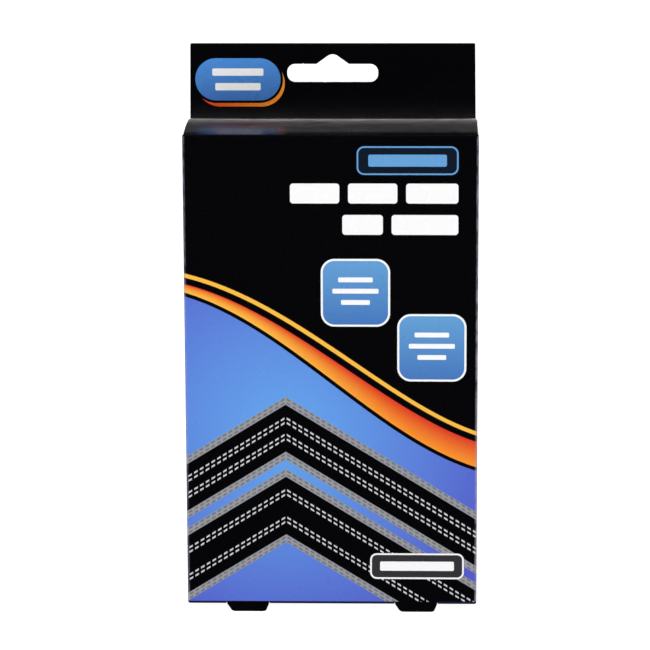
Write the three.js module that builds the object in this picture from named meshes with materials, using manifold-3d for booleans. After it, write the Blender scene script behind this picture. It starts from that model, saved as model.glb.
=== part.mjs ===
// Hang-tab carton: a folding box of printed paperboard with a punched header to hang it by.
// Millimetres, +Z up. The front faces -Y and +X is to its right.
// The origin is the middle of the footprint, level with the tips of the foot tabs.
// The board is creased and folded from one blank. Its printed face is outside on every panel.

import * as THREE from "three";
import { mergeVertices } from "three/addons/utils/BufferGeometryUtils.js";
import Module from "manifold-3d";

// Driving dimensions
const WIDTH = 102; // over the two side panels
const DEPTH = 36; // over the front and the back
const PANEL_HEIGHT = 168; // front panel, from its lower fold to its upper fold
const BOARD = 0.5; // thickness of the paperboard
const FOLD_RADIUS = 1; // outside radius of every fold
const GAP = 0.3; // clearance between two layers of board that lie together
const FOLD_STEPS = 6; // facets in a right-angled fold

// The header, which is the back panel carried up, folded forward over itself and glued
const HEADER_RISE = 26.6; // above the lid
const HEADER_INSET = 0.65; // at each side, from the carton's width
const HEADER_TAPER = 0.3; // at each side, over the header's height
const HEADER_CORNER = 0.5; // radius of its upper corners, seen from the front

// The hanging slot: a round-ended bar with a peak over its middle, where a hook centres itself
const SLOT_LENGTH = 32;
const SLOT_HEIGHT = 6.4;
const PEAK_LENGTH = 11.4;
const PEAK_RISE = 3.4;
const PEAK_RADIUS = 3.1;
const SLOT_DROP = 3.9; // from the header's top to the peak

// The lid and the base, each a panel with a tongue that tucks inside the back panel
const LID_INSET = 0.4; // at each side, from the carton's width
const BASE_INSET = 0.4;
const TONGUE_LENGTH = 13;
const TONGUE_INSET = 2.5; // at each side, from the carton's width
const TONGUE_CORNER = 7;

// The dust flaps, which fold in from the side panels under the lid and over the base
const FLAP_LENGTH = 30;
const FLAP_CORNER = 5;
const FLAP_SLANT = 3; // how far each long edge leans in towards the tip
const FLAP_CLEARANCE = 1; // from the panels and the tongue beside it

// The foot tabs. The front ones are cut out of the base panel and left in the plane of the front,
// and the rear ones are the back panel's lower edge carried down.
const FOOT_HEIGHT = 2.8;
const FOOT_WIDTH = 14.8;
const FOOT_TAPER = 1.5; // at each side
const FOOT_CORNER = 1.2;
const FOOT_OFFSET = 29.7; // from the middle of a panel to the middle of each of its tabs

// The seam flap, which joins the left side panel to the inside of the back panel
const SEAM_WIDTH = 12;
const SEAM_SLANT = 4; // how far each end is cut back along the free edge

// Levels and planes that several pieces share
const baseLevel = FOOT_HEIGHT;
const lidLevel = baseLevel + PANEL_HEIGHT;
const headerTop = lidLevel + HEADER_RISE;
const frontFace = -DEPTH / 2;
const backFace = DEPTH / 2;
const frontFold = frontFace + FOLD_RADIUS;
const seamFace = backFace - BOARD - GAP;
const rearFold = seamFace - BOARD - GAP;
const flapTop = lidLevel - BOARD - GAP;
const flapFloor = baseLevel + BOARD + GAP;
const sideTop = flapTop - FOLD_RADIUS - GAP;
const sideBottom = flapFloor + FOLD_RADIUS + GAP;
const sideFold = WIDTH / 2 - FOLD_RADIUS;

const wasm = await Module();
wasm.setup();

// Section planes: where a shape's own x, y and depth point in the carton
const PLAN = new THREE.Matrix4();
const FRONT_VIEW = new THREE.Matrix4().makeBasis(
  new THREE.Vector3(1, 0, 0),
  new THREE.Vector3(0, 0, 1),
  new THREE.Vector3(0, -1, 0),
);
const SIDE_VIEW = new THREE.Matrix4().makeBasis(
  new THREE.Vector3(0, 1, 0),
  new THREE.Vector3(0, 0, 1),
  new THREE.Vector3(1, 0, 0),
);

// A three.js geometry as a solid that can be joined and cut
function solidOf(geometry) {
  const bare = geometry.clone();
  bare.deleteAttribute("normal");
  bare.deleteAttribute("uv");
  const merged = mergeVertices(bare, 1e-4);
  return new wasm.Manifold(
    new wasm.Mesh({
      numProp: 3,
      vertProperties: new Float32Array(merged.attributes.position.array),
      triVerts: new Uint32Array(merged.index.array),
    }),
  );
}

// A shape extruded along its view's depth, between two places on that axis
function extrude(shape, view, from, to) {
  const geometry = new THREE.ExtrudeGeometry(shape, {
    depth: to - from,
    bevelEnabled: false,
    curveSegments: FOLD_STEPS,
  });
  geometry.translate(0, 0, from);
  geometry.applyMatrix4(view);
  return solidOf(geometry);
}

// A closed outline through corners, each rounded by its own radius
function roundedOutline(corners) {
  const path = new THREE.Shape();
  corners.forEach(({ x, y, radius = 0 }, i) => {
    const before = corners[(i + corners.length - 1) % corners.length];
    const after = corners[(i + 1) % corners.length];
    const corner = new THREE.Vector2(x, y);
    const back = new THREE.Vector2(before.x - x, before.y - y).normalize();
    const onward = new THREE.Vector2(after.x - x, after.y - y).normalize();
    const halfAngle = Math.acos(THREE.MathUtils.clamp(back.dot(onward), -1, 1)) / 2;
    const setback = radius / Math.tan(halfAngle);
    const entry = corner.clone().addScaledVector(back, setback);
    const exit = corner.clone().addScaledVector(onward, setback);
    const centre = corner.clone().addScaledVector(
      back.clone().add(onward).normalize(),
      radius / Math.sin(halfAngle),
    );
    if (i === 0) path.moveTo(entry.x, entry.y);
    else path.lineTo(entry.x, entry.y);
    if (radius > 0) {
      const start = Math.atan2(entry.y - centre.y, entry.x - centre.x);
      const end = Math.atan2(exit.y - centre.y, exit.x - centre.x);
      const clockwise = back.x * onward.y - back.y * onward.x > 0;
      path.absarc(centre.x, centre.y, radius, start, end, clockwise);
    }
  });
  path.closePath();
  return path;
}

function rectangle(x0, x1, y0, y1, radius = 0) {
  return roundedOutline([
    { x: x0, y: y0, radius },
    { x: x1, y: y0, radius },
    { x: x1, y: y1, radius },
    { x: x0, y: y1, radius },
  ]);
}

function block(x0, x1, y0, y1, z0, z1) {
  return extrude(rectangle(x0, x1, y0, y1), PLAN, z0, z1);
}

// The section of a folded strip of board. It follows the printed face from a start point in a heading,
// and the board lies on the right. A number is a straight run, and a turn is a fold to the right.
function foldedSection(x, y, headingDegrees, runs) {
  const place = new THREE.Vector2(x, y);
  let heading = THREE.MathUtils.degToRad(headingDegrees);
  const toTheRight = () => new THREE.Vector2(Math.sin(heading), -Math.cos(heading));
  const printed = [place.clone()];
  const plain = [place.clone().addScaledVector(toTheRight(), BOARD)];
  for (const run of runs) {
    if (typeof run === "number") {
      place.add(new THREE.Vector2(Math.cos(heading), Math.sin(heading)).multiplyScalar(run));
      printed.push(place.clone());
      plain.push(place.clone().addScaledVector(toTheRight(), BOARD));
    } else {
      const centre = place.clone().addScaledVector(toTheRight(), FOLD_RADIUS);
      const steps = Math.ceil((FOLD_STEPS * run.turn) / 90);
      for (let i = 1; i <= steps; i++) {
        heading -= THREE.MathUtils.degToRad(run.turn) / steps;
        printed.push(centre.clone().addScaledVector(toTheRight(), -FOLD_RADIUS));
        plain.push(centre.clone().addScaledVector(toTheRight(), BOARD - FOLD_RADIUS));
      }
      place.copy(printed[printed.length - 1]);
    }
  }
  return new THREE.Shape([...printed, ...plain.reverse()]);
}

function piece(name, solid, colour, roughness) {
  const { vertProperties, triVerts } = solid.getMesh();
  const indexed = new THREE.BufferGeometry()
    .setAttribute("position", new THREE.BufferAttribute(vertProperties, 3))
    .setIndex(new THREE.BufferAttribute(triVerts, 1));
  const geometry = indexed.toNonIndexed();
  geometry.computeVertexNormals();
  const material = new THREE.MeshStandardMaterial({ color: colour, roughness, metalness: 0 });
  const mesh = new THREE.Mesh(geometry, material);
  mesh.name = name;
  return mesh;
}

// The four walls as one rounded tube. The side panels stop short where the dust flaps fold over them.
function walls() {
  const inside = FOLD_RADIUS - BOARD;
  const outline = rectangle(-WIDTH / 2, WIDTH / 2, frontFace, backFace, FOLD_RADIUS);
  outline.holes.push(
    rectangle(-WIDTH / 2 + BOARD, WIDTH / 2 - BOARD, frontFace + BOARD, backFace - BOARD, inside),
  );
  const tube = extrude(outline, PLAN, baseLevel + FOLD_RADIUS, lidLevel - FOLD_RADIUS);
  const flat = [frontFold, backFace - FOLD_RADIUS];
  const above = block(-WIDTH, WIDTH, ...flat, sideTop, lidLevel);
  const below = block(-WIDTH, WIDTH, ...flat, 0, sideBottom);
  return tube.subtract(above).subtract(below);
}

// The front panel between the side folds, with its folds to the lid above and to the base below
function frontPanel() {
  const section = foldedSection(frontFold, baseLevel, 180, [
    { turn: 90 },
    PANEL_HEIGHT - 2 * FOLD_RADIUS,
    { turn: 90 },
  ]);
  return extrude(section, SIDE_VIEW, -sideFold, sideFold);
}

// A foot tab's outline from the front, grown by a clearance where it is cut from the base
function footOutline(middle, top, clearance) {
  const half = FOOT_WIDTH / 2 + clearance;
  const tip = half - FOOT_TAPER;
  return roundedOutline([
    { x: middle - half, y: top },
    { x: middle - half, y: FOOT_HEIGHT },
    { x: middle - tip, y: -clearance, radius: FOOT_CORNER },
    { x: middle + tip, y: -clearance, radius: FOOT_CORNER },
    { x: middle + half, y: FOOT_HEIGHT },
    { x: middle + half, y: top },
  ]);
}

// A foot tab as thick as the board, its outer face on a panel's outer face
function foot(middle, outerFace) {
  const near = Math.min(-outerFace, -outerFace + Math.sign(outerFace) * BOARD);
  const outline = footOutline(middle, baseLevel + FOLD_RADIUS + BOARD, 0);
  return extrude(outline, FRONT_VIEW, near, near + BOARD);
}

function frontWithFeet() {
  let front = frontPanel();
  for (const middle of [-FOOT_OFFSET, FOOT_OFFSET]) {
    const half = FOOT_WIDTH / 2 + GAP;
    const foldLine = baseLevel + FOLD_RADIUS;
    const release = block(middle - half, middle + half, -DEPTH, DEPTH, -FOOT_HEIGHT, foldLine);
    front = front.subtract(release).add(foot(middle, frontFace));
  }
  return front;
}

// The back panel's lower edge, which the base doesn't fold from, so it is cut straight at the base's level
function backEdgeWithFeet() {
  const inner = backFace - BOARD;
  const top = baseLevel + FOLD_RADIUS + BOARD;
  const edge = block(-sideFold, sideFold, inner, backFace, baseLevel, top);
  return edge.add(foot(-FOOT_OFFSET, backFace)).add(foot(FOOT_OFFSET, backFace));
}

// The slot's outline: a bar with half-round ends, and over its middle a peak with straight flanks
// that run into a round crown. A flank leaves the bar at the angle that makes it touch the crown.
function slotOutline() {
  const end = SLOT_HEIGHT / 2;
  const reach = SLOT_LENGTH / 2 - end;
  const middle = headerTop - SLOT_DROP - PEAK_RISE - end;
  const crownRise = PEAK_RISE - PEAK_RADIUS;
  const crownDistance = Math.hypot(PEAK_LENGTH / 2, crownRise);
  const slope = Math.atan2(crownRise, PEAK_LENGTH / 2) + Math.asin(PEAK_RADIUS / crownDistance);
  const crownMiddle = middle + end + crownRise;
  const slot = new THREE.Path();
  slot.moveTo(-reach, middle - end);
  slot.lineTo(reach, middle - end);
  slot.absarc(reach, middle, end, -Math.PI / 2, Math.PI / 2, false);
  slot.lineTo(PEAK_LENGTH / 2, middle + end);
  slot.absarc(0, crownMiddle, PEAK_RADIUS, Math.PI / 2 - slope, Math.PI / 2 + slope, false);
  slot.lineTo(-PEAK_LENGTH / 2, middle + end);
  slot.lineTo(-reach, middle + end);
  slot.absarc(-reach, middle, end, Math.PI / 2, (3 * Math.PI) / 2, false);
  return slot;
}

// The header's two layers: the back panel going up, round the top fold and down the front to the lid
function header() {
  const root = lidLevel - 2 * FOLD_RADIUS;
  const section = new THREE.Shape();
  section.moveTo(backFace, root);
  section.lineTo(backFace, headerTop - BOARD);
  section.absarc(backFace - BOARD, headerTop - BOARD, BOARD, 0, Math.PI, false);
  section.lineTo(backFace - 2 * BOARD, lidLevel);
  section.lineTo(backFace - BOARD, lidLevel);
  section.lineTo(backFace - BOARD, root);
  section.closePath();
  const half = WIDTH / 2 - HEADER_INSET;
  const outline = roundedOutline([
    { x: -half, y: root },
    { x: half, y: root },
    { x: half - HEADER_TAPER, y: headerTop, radius: HEADER_CORNER },
    { x: -half + HEADER_TAPER, y: headerTop, radius: HEADER_CORNER },
  ]);
  outline.holes.push(slotOutline());
  const layers = extrude(section, SIDE_VIEW, -half, half);
  return layers.intersect(extrude(outline, FRONT_VIEW, -DEPTH, 0));
}

function sleeve() {
  return walls().add(frontWithFeet()).add(backEdgeWithFeet()).add(header());
}

// A wide panel and a narrower tongue with round corners, seen from the front
function tuckOutline(panelHalf, root, tip) {
  const tongueHalf = WIDTH / 2 - TONGUE_INSET;
  const beyond = root + Math.sign(root - tip) * FOLD_RADIUS * 2;
  return roundedOutline([
    { x: -panelHalf, y: beyond },
    { x: panelHalf, y: beyond },
    { x: panelHalf, y: root },
    { x: tongueHalf, y: root },
    { x: tongueHalf, y: tip, radius: TONGUE_CORNER },
    { x: -tongueHalf, y: tip, radius: TONGUE_CORNER },
    { x: -tongueHalf, y: root },
    { x: -panelHalf, y: root },
  ]);
}

// The lid swings about a line just over its front fold. Its tongue leans in by the angle at which
// its tip and its fold lie on one circle about that line, so it clears the header as the lid opens.
function lidLean() {
  const reach = rearFold - frontFold - GAP / 2;
  return Math.asin(TONGUE_LENGTH / (2 * reach));
}

function lid() {
  const lean = THREE.MathUtils.radToDeg(lidLean());
  const start = frontFold + GAP;
  const section = foldedSection(start, lidLevel, 0, [
    rearFold - FOLD_RADIUS - start,
    { turn: 90 + lean },
    TONGUE_LENGTH - FOLD_RADIUS,
  ]);
  const half = WIDTH / 2 - LID_INSET;
  const outline = tuckOutline(half, lidLevel - FOLD_RADIUS, lidLevel - TONGUE_LENGTH);
  return extrude(section, SIDE_VIEW, -half, half).intersect(
    extrude(outline, FRONT_VIEW, -DEPTH, DEPTH),
  );
}

// How far forward the inside of the lid's tongue reaches, at its tip
function lidTongueInside() {
  const lean = lidLean();
  return rearFold - TONGUE_LENGTH * Math.sin(lean) - BOARD / Math.cos(lean);
}

function base() {
  const start = baseLevel + TONGUE_LENGTH;
  const section = foldedSection(rearFold, start, -90, [
    TONGUE_LENGTH - FOLD_RADIUS,
    { turn: 90 },
    rearFold - FOLD_RADIUS - frontFold - GAP,
  ]);
  const half = WIDTH / 2 - BASE_INSET;
  const outline = tuckOutline(half, baseLevel + FOLD_RADIUS, start);
  let panel = extrude(section, SIDE_VIEW, -half, half).intersect(
    extrude(outline, FRONT_VIEW, -DEPTH, DEPTH),
  );
  const notchView = new THREE.Matrix4().makeTranslation(0, frontFace + FOOT_HEIGHT, 0);
  notchView.multiply(new THREE.Matrix4().makeRotationX(Math.PI));
  for (const middle of [-FOOT_OFFSET, FOOT_OFFSET]) {
    const notch = footOutline(middle, FOOT_HEIGHT + FOLD_RADIUS, GAP);
    panel = panel.subtract(extrude(notch, notchView, -PANEL_HEIGHT / 2, PANEL_HEIGHT / 2));
  }
  return panel;
}

// A dust flap from above. It keeps clear of the panels at its ends, and leans in towards its tip.
function flapOutline(side, front, back) {
  const root = side * WIDTH;
  const fold = side * sideFold;
  const tip = side * (WIDTH / 2 - FLAP_LENGTH);
  return roundedOutline([
    { x: root, y: front },
    { x: fold, y: front },
    { x: tip, y: front + FLAP_SLANT, radius: FLAP_CORNER },
    { x: tip, y: back - FLAP_SLANT, radius: FLAP_CORNER },
    { x: fold, y: back },
    { x: root, y: back },
  ]);
}

// A dust flap with the fold that joins it to its side panel. The upper flap on the left and the lower
// one on the right run from the panel to the tip, and the other two from the tip to the panel.
function dustFlap(side, isUpper) {
  const straight = FLAP_LENGTH - FOLD_RADIUS;
  const panelFace = side * (WIDTH / 2);
  const tip = side * (WIDTH / 2 - FLAP_LENGTH);
  const level = isUpper ? flapTop : flapFloor;
  const foldEnd = isUpper ? flapTop - FOLD_RADIUS : flapFloor + FOLD_RADIUS;
  const startsAtPanel = isUpper === (side < 0);
  const section = startsAtPanel
    ? foldedSection(panelFace, foldEnd, isUpper ? 90 : -90, [{ turn: 90 }, straight])
    : foldedSection(tip, level, isUpper ? 0 : 180, [straight, { turn: 90 }]);
  const front = frontFace + BOARD + FLAP_CLEARANCE;
  const back = lidTongueInside() - FLAP_CLEARANCE;
  return extrude(section, FRONT_VIEW, -DEPTH / 2, DEPTH / 2).intersect(
    extrude(flapOutline(side, front, back), PLAN, 0, headerTop),
  );
}

function seamFlap() {
  const edge = -WIDTH / 2 + BOARD + GAP;
  const free = edge + SEAM_WIDTH;
  const outline = roundedOutline([
    { x: edge, y: sideBottom },
    { x: free, y: sideBottom + SEAM_SLANT },
    { x: free, y: sideTop - SEAM_SLANT },
    { x: edge, y: sideTop },
  ]);
  return extrude(outline, FRONT_VIEW, -seamFace, -seamFace + BOARD);
}

const PRINTED = 0x101014;
const PLAIN = 0xc9c5bb;

const group = new THREE.Group();
group.name = "hang_tab_carton";
group.add(piece("carton_sleeve", sleeve(), PRINTED, 0.35));
group.add(piece("lid", lid(), PRINTED, 0.3));
group.add(piece("base_panel", base(), PRINTED, 0.4));
group.add(piece("seam_flap", seamFlap(), PLAIN, 0.85));
for (const side of [-1, 1]) {
  const word = side < 0 ? "left" : "right";
  group.add(piece(`dust_flap_${word}`, dustFlap(side, true), PLAIN, 0.8));
  group.add(piece(`base_dust_flap_${word}`, dustFlap(side, false), PLAIN, 0.8));
}

export default group;
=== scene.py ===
# %% [markdown]
# This lesson dresses a hang-tab carton: a flat folding box of black printed paperboard, with a punched
# header to hang it by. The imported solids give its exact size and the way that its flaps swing. They could
# simply be painted, but a solid has one finish on all its faces, and board has three: the printed face,
# the plain inside and the cut edge. So each panel is made again here as a thin creased sheet.

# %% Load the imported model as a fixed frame
import math

import bmesh
import bpy
from mathutils import Matrix, Vector, noise


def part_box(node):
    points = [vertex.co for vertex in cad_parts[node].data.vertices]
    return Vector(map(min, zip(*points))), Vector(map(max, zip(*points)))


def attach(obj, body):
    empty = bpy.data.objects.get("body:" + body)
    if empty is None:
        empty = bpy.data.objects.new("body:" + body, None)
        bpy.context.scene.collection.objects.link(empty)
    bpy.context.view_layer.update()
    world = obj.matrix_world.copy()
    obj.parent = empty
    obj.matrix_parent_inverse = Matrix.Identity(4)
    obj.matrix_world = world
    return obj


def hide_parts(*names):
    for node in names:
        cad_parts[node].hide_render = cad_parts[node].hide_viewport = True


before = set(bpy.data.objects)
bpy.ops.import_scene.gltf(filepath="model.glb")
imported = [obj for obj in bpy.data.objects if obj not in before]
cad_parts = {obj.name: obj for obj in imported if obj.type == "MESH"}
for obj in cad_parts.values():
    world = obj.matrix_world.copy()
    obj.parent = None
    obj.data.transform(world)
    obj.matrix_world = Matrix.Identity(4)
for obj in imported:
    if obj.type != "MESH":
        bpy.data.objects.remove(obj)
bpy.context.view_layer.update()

MM = 0.001

# %% [markdown]
# Blender works in metres, so every size in millimetres is multiplied by MM. The sizes that a panel shares
# with its neighbours aren't typed in again: they are read off the boxes of the solids. A few sizes of the
# blank itself, such as the board's thickness, can't be read off a box, so they are named here.

# %% Measure the carton
sleeve_low, sleeve_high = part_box("carton_sleeve")
lid_low, lid_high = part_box("lid")
base_low, base_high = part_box("base_panel")
upper_low, upper_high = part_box("dust_flap_right")
lower_low, lower_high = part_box("base_dust_flap_right")
seam_low, seam_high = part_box("seam_flap")

BOARD = 0.47 * MM
FOLD = 0.7 * MM
FOLD_STEPS = 6
HAIR = 0.03 * MM
NEAR = 0.001 * MM

half_width = sleeve_high.x
front, back = sleeve_low.y, sleeve_high.y
base_level, lid_level, header_top = base_low.z, lid_high.z, sleeve_high.z
side_bottom, side_top = seam_low.z, seam_high.z
side_fold = half_width - FOLD
print("width", round(2 * half_width / MM, 2), "height", round(header_top / MM, 2))

# %% [markdown]
# Two small helpers carry most of the modelling. One pulls a chain of edges out into a new row of faces, as
# pressing E in the editor does. The other turns a chain of edges round a crease, one pulled row at a time,
# which gives a true round fold and says which edges it ends on. Spin would do the same, but hides that end.


# %% Helpers that pull and fold a row of board
def edges_between(verts):
    chosen = set(verts)
    return [e for e in {e for v in verts for e in v.link_edges} if set(e.verts) <= chosen]


def new_verts(made):
    return [g for g in made if isinstance(g, bmesh.types.BMVert)]


def pull(bm, edges, step):
    made = bmesh.ops.extrude_edge_only(bm, edges=edges)["geom"]
    verts = new_verts(made)
    bmesh.ops.translate(bm, verts=verts, vec=step)
    return verts, edges_between(verts)


def fold(bm, edges, centre, axis, degrees):
    ends = edges
    step = math.radians(degrees) / FOLD_STEPS
    verts = []
    for _ in range(FOLD_STEPS):
        verts, ends = pull(bm, ends, (0, 0, 0))
        bmesh.ops.rotate(bm, verts=verts, cent=centre, matrix=Matrix.Rotation(step, 3, axis))
    return verts, ends


def cut_rows(bm, axis, places):
    for place in places:
        normal = Vector([float(axis == name) for name in "XYZ"])
        everything = bm.verts[:] + bm.edges[:] + bm.faces[:]
        bmesh.ops.bisect_plane(bm, geom=everything, plane_co=normal * place, plane_no=normal,
                               dist=NEAR)


def evenly(low, high, step):
    count = max(1, round((high - low) / step))
    return [low + (high - low) * i / count for i in range(count + 1)]


# %% [markdown]
# A finished sheet becomes board by a Solidify modifier with an inward offset. Its material offsets give the
# outer face the first finish, the inner face the second and the cut edge the third. The modifier is applied,
# so that later steps can cut and measure the true mesh. Folds are shaded smooth, but a cut edge is a true
# corner, so every edge that turns by more than a fold's step is marked sharp.


# %% Helpers that turn a sheet into board
PRINTED, PLAIN, CUT = (bpy.data.materials.new(name) for name in ("printed_face", "plain_face", "cut_edge"))
SHARP_TURN = math.radians(40)


def put(name, data):
    made = bpy.data.objects.new(name, data)
    bpy.context.scene.collection.objects.link(made)
    return made


def put_mesh(name, bm):
    mesh = bpy.data.meshes.new(name)
    bm.to_mesh(mesh)
    bm.free()
    return put(name, mesh)


def place_board(name, bm, outward, body, node, outer=PRINTED):
    bmesh.ops.remove_doubles(bm, verts=bm.verts, dist=NEAR)
    bmesh.ops.recalc_face_normals(bm, faces=bm.faces)
    where, direction = outward
    nearest = min(bm.faces, key=lambda f: (f.calc_center_median() - Vector(where)).length)
    if nearest.normal.dot(Vector(direction)) < 0:
        bmesh.ops.reverse_faces(bm, faces=bm.faces)
    for face in bm.faces:
        face.smooth = True
    piece = put_mesh(name, bm)
    for material in (outer, PLAIN, CUT):
        piece.data.materials.append(material)
    thick = piece.modifiers.new("board", "SOLIDIFY")
    thick.thickness = BOARD
    thick.offset = -1
    thick.use_even_offset = True
    thick.material_offset = 1
    thick.material_offset_rim = 2
    apply_modifier(piece, thick)
    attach(piece, body)
    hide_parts(node)
    return piece


def apply_modifier(piece, modifier):
    bpy.ops.object.select_all(action="DESELECT")
    piece.select_set(True)
    bpy.context.view_layer.objects.active = piece
    bpy.ops.object.modifier_apply(modifier=modifier.name)
    piece.data.set_sharp_from_angle(angle=SHARP_TURN)


# %% [markdown]
# The sleeve is the board that runs round the carton. It could be a folded strip, but it closes on itself, so
# it starts as a rectangle whose corners are rounded by a vertex bevel. Its edges are pulled up into a tube,
# and the tube is cut into columns and rows, so that the folds and the foot tabs find their edges.

# %% Pull the four walls up
FOOT_OFFSET = 29.7 * MM
FOOT_HALF = 7.4 * MM
FOOT_RELEASE = 7.7 * MM
WALL_STEP = 8 * MM

sleeve = bmesh.new()
bmesh.ops.create_grid(sleeve, x_segments=1, y_segments=1, size=1)
bmesh.ops.scale(sleeve, verts=sleeve.verts, vec=(half_width, back, 1))
bmesh.ops.translate(sleeve, verts=sleeve.verts, vec=(0, 0, base_level + FOLD))
bmesh.ops.bevel(sleeve, geom=sleeve.verts[:], offset=FOLD, offset_type="OFFSET", affect="VERTICES",
                segments=FOLD_STEPS, profile=0.5, material=-1)
bmesh.ops.delete(sleeve, geom=sleeve.faces[:], context="FACES_ONLY")
pull(sleeve, sleeve.edges[:], (0, 0, lid_level - base_level - 2 * FOLD))
foot_columns = [side * (FOOT_OFFSET + reach) for side in (-1, 1)
                for reach in (-FOOT_RELEASE, -FOOT_HALF, FOOT_HALF, FOOT_RELEASE)]
cut_rows(sleeve, "X", evenly(-side_fold, side_fold, WALL_STEP)[1:-1] + foot_columns)
cut_rows(sleeve, "Y", evenly(front + FOLD, back - FOLD, WALL_STEP)[1:-1])
cut_rows(sleeve, "Z", evenly(side_bottom, side_top, WALL_STEP))
print("walls:", len(sleeve.faces), "faces")


# %% [markdown]
# The side panels stop short at both ends, because the dust flaps fold over them there. The front turns over
# into the lid above and into the base below, and it takes its rounded corners with it: turning them about
# the same line draws a small eighth of a ball. Its two foot tabs don't turn: they were cut free of the base,
# so they run on straight down. The back has a plain lower edge with a tab below each tab of the front.


# %% Fold the front over and run the foot tabs down
def between_folds(x):
    return abs(x) < side_fold


def in_foot(x):
    return abs(abs(x) - FOOT_OFFSET) < FOOT_RELEASE


def beside_feet(x):
    return not in_foot(x)


def edges_where(bm, lies, keep):
    edges = [e for e in bm.edges if all(lies(v.co) for v in e.verts)]
    return [e for e in edges if keep is None or keep(sum(v.co.x for v in e.verts) / 2)]


def along(bm, y, z, keep=None):
    def lies(place):
        return abs(place.y - y) < NEAR and abs(place.z - z) < NEAR
    return edges_where(bm, lies, keep)


def front_rim(bm, level, keep=None):
    def lies(place):
        return abs(place.z - level) < NEAR and place.y < front + FOLD + NEAR
    return edges_where(bm, lies, keep)


FOOT_LEAN = 0.38 * MM
FOOT_ROWS = [dict(level=1.0, half=6.44), dict(level=0.45, half=6.1),
             dict(level=0.14, half=5.65), dict(level=0.0, half=4.9)]


def run_foot_down(bm, y, level):
    for side in (-1, 1):
        middle = side * FOOT_OFFSET
        edges = along(bm, y, level, lambda x: abs(x - middle) < FOOT_HALF)
        verts, edges = pull(bm, edges, (0, 0, base_level - level))
        half, centre = FOOT_HALF, middle
        for row in FOOT_ROWS:
            verts, edges = pull(bm, edges, (0, 0, 0))
            moved = middle + FOOT_LEAN * (1 - row["level"] * MM / base_level)
            for vert in verts:
                vert.co.x = moved + (vert.co.x - centre) * row["half"] * MM / half
                vert.co.z = row["level"] * MM
            half, centre = row["half"] * MM, moved


side_ends = [f for f in sleeve.faces if abs(f.calc_center_median().y) < back - FOLD
             and abs(f.calc_center_median().x) > side_fold
             and not side_bottom < f.calc_center_median().z < side_top]
bmesh.ops.delete(sleeve, geom=side_ends, context="FACES")
top_crease, low_crease = lid_level - FOLD, base_level + FOLD
fold(sleeve, front_rim(sleeve, top_crease), (0, front + FOLD, top_crease), "X", -90)
fold(sleeve, front_rim(sleeve, low_crease, beside_feet), (0, front + FOLD, low_crease), "X", 90)
run_foot_down(sleeve, front, low_crease)
pull(sleeve, along(sleeve, back, low_crease, between_folds), (0, 0, -FOLD))
run_foot_down(sleeve, back, base_level)
print("with folds and feet:", len(sleeve.faces), "faces")

# %% [markdown]
# The header is the back panel carried up, folded forward over itself and glued. So it is pulled up from the
# back in rows, turned over by half a circle no wider than two boards, and brought down again almost to the
# lid. The board is one sheet all the way, so the header needs no joint of its own.

# %% Carry the back panel up into the header
HEADER_HALF = 50.35 * MM
HEADER_TAPER = 0.3 * MM
HEADER_CORNER = 0.5 * MM
HEADER_START = 0.5 * MM
HEADER_STEP = 4 * MM
TURN = 0.5 * MM

turn_level = header_top - TURN
header_rows = evenly(top_crease + HEADER_START, turn_level, HEADER_STEP)
edges = along(sleeve, back, top_crease, between_folds)
level = top_crease
header_verts = []
for row in header_rows:
    verts, edges = pull(sleeve, edges, (0, 0, row - level))
    header_verts += verts
    level = row
for _ in range(2 * FOLD_STEPS):
    verts, edges = pull(sleeve, edges, (0, 0, 0))
    turn = Matrix.Rotation(math.pi / (2 * FOLD_STEPS), 3, "X")
    bmesh.ops.rotate(sleeve, verts=verts, cent=(0, back - TURN, turn_level), matrix=turn)
    header_verts += verts
facing_rows = evenly(lid_level, turn_level, HEADER_STEP)[::-1][1:]
for row in facing_rows:
    verts, edges = pull(sleeve, edges, (0, 0, row - level))
    header_verts += verts
    level = row
for vert in header_verts:
    rise = (vert.co.z - lid_level) / (header_top - lid_level)
    half = HEADER_HALF - HEADER_TAPER * max(0, rise)
    over = max(0, (vert.co.z - header_top + HEADER_CORNER) / HEADER_CORNER)
    half -= HEADER_CORNER * (1 - math.sqrt(max(0, 1 - over * over)))
    vert.co.x *= half / side_fold
print("with header:", len(sleeve.faces), "faces")

# %% [markdown]
# Board that has been handled is never quite flat. The walls draw in a little between their folds, and a few
# places are slightly dented. This is done one by one on the vertices, always inwards, so that the carton
# stays inside the size of its solids.


# %% Bend the walls a little
def swell(place, low, high):
    share = min(1, max(0, (place - low) / (high - low)))
    return math.sin(math.pi * share)


WALL_DRAW = 0.3 * MM
BACK_DRAW = 0.6 * MM
WANDER_SCALE = 35
WANDER_SHARE = 0.4

for vert in sleeve.verts:
    x, y, z = vert.co
    rise = swell(z, base_level + FOLD, top_crease)
    if abs(x) < side_fold and y < 0 and low_crease < z < top_crease:
        wander = 1 + WANDER_SHARE * noise.noise(Vector((x, 0, z)) * WANDER_SCALE)
        vert.co.y += rise * swell(x, -side_fold, side_fold) * WALL_DRAW * wander
    elif abs(x) < side_fold and y > back - FOLD and low_crease < z < top_crease:
        vert.co.y -= rise * swell(x, -side_fold, side_fold) * BACK_DRAW
    elif abs(y) < back - FOLD and abs(x) > side_fold:
        vert.co.x -= math.copysign(rise * swell(y, front + FOLD, back - FOLD) * WALL_DRAW, x)
print("walls drawn in by up to", WALL_DRAW / MM, "mm, the back by", BACK_DRAW / MM)

# %% [markdown]
# Only now does the sleeve get its thickness, because a sheet is much easier to fold and bend than a board.

# %% Make the sleeve's board
carton_sleeve = place_board("sleeve_board", sleeve, ((0, front, 0.1), (0, -1, 0)), "carton", "carton_sleeve")
print("sleeve board:", len(carton_sleeve.data.polygons), "faces")

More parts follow.
